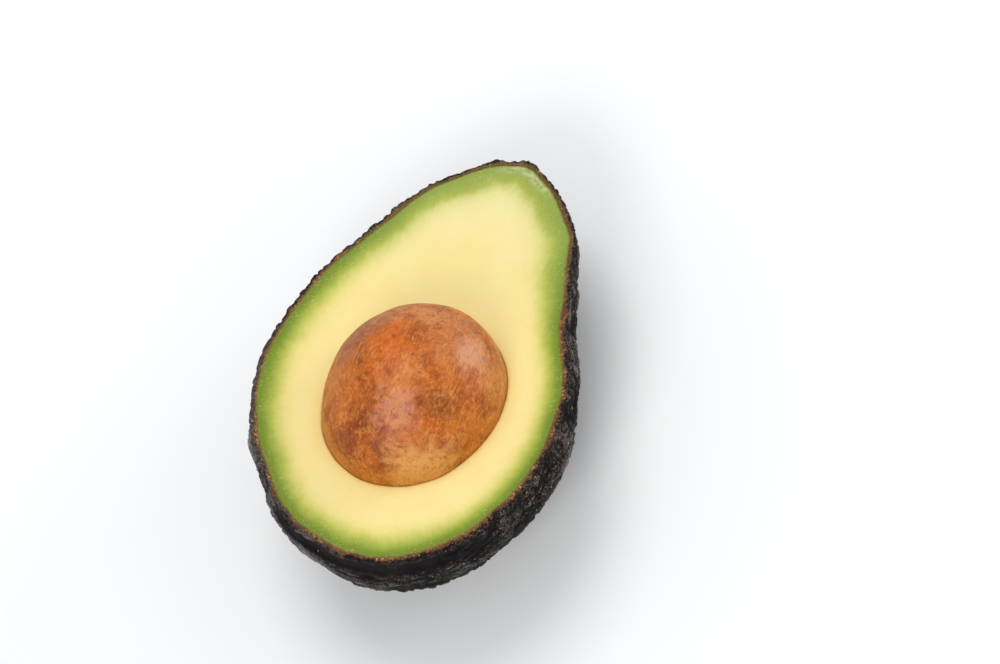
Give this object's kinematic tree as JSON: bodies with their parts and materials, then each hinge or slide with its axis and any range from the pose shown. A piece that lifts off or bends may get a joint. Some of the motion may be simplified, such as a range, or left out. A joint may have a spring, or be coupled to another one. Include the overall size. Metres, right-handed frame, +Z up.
{
  "type": "halved avocado with its seed",
  "caption": "Pear-shaped avocado cut in half along its length, lying on its dark pebbled skin with the cut flesh up and the brown seed still in it.",
  "frame": {"origin": "middle of the small flat spot that the half rests on, on the floor plane", "axes": "+Z up, out of the table; +Y level from the blunt end to the stem end, the longest way; +X to the right"},
  "size_m": [0.0687, 0.1041, 0.0523],
  "materials": {
    "peel": "near-black, pebbled and finely wrinkled skin with a satin sheen, tan-brown where it is cut",
    "flesh": "soft moist pulp, butter yellow in the middle, turning green over the last millimetres to the rim",
    "seed": "smooth chestnut to orange-brown seed coat with pale branching veins and a low sheen"
  },
  "bodies": {
    "root": {"peel": "peel", "flesh": "flesh", "seed": "seed"}
  },
  "joints": []
}
